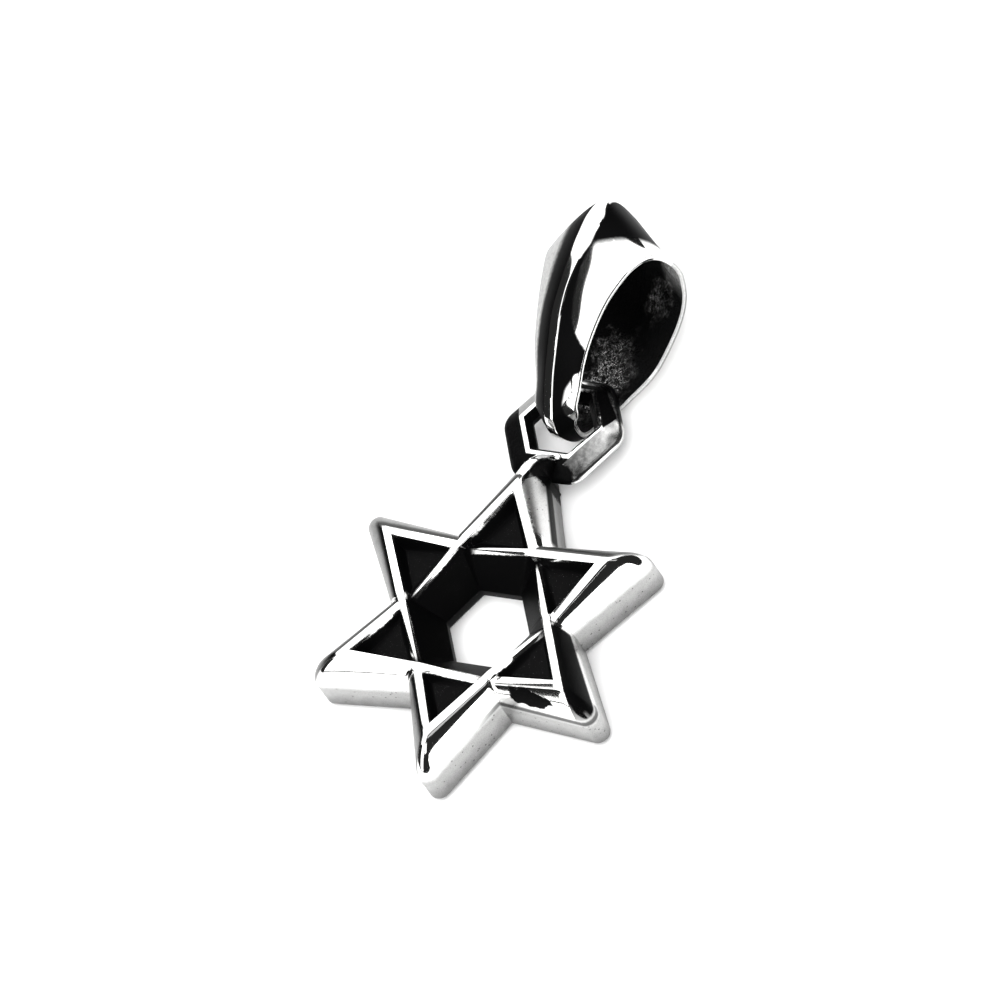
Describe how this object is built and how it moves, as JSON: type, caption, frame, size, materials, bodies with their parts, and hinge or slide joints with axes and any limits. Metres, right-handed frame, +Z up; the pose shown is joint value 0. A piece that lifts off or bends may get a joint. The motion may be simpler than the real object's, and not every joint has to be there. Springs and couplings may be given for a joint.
{
  "type": "star pendant",
  "caption": "Star of David pendant in oxidised silver: two interlaced triangles cast as one open star, a hexagonal ring soldered to its top point and a keeled leaf-shaped bail.",
  "frame": {"origin": "under the middle of the whole pendant's bounding box, on the surface that it lies on", "axes": "+Z up off that surface, through the front of the star; +Y along the pendant from the star to the bail; +X to the right as seen from the front"},
  "size_m": [0.0188, 0.0376, 0.0079],
  "materials": {
    "star_silver": "polished silver with blackened recesses",
    "bail_silver": "polished silver, blackened inside"
  },
  "bodies": {
    "root": {"star": "star_silver", "bail": "bail_silver"}
  },
  "joints": []
}
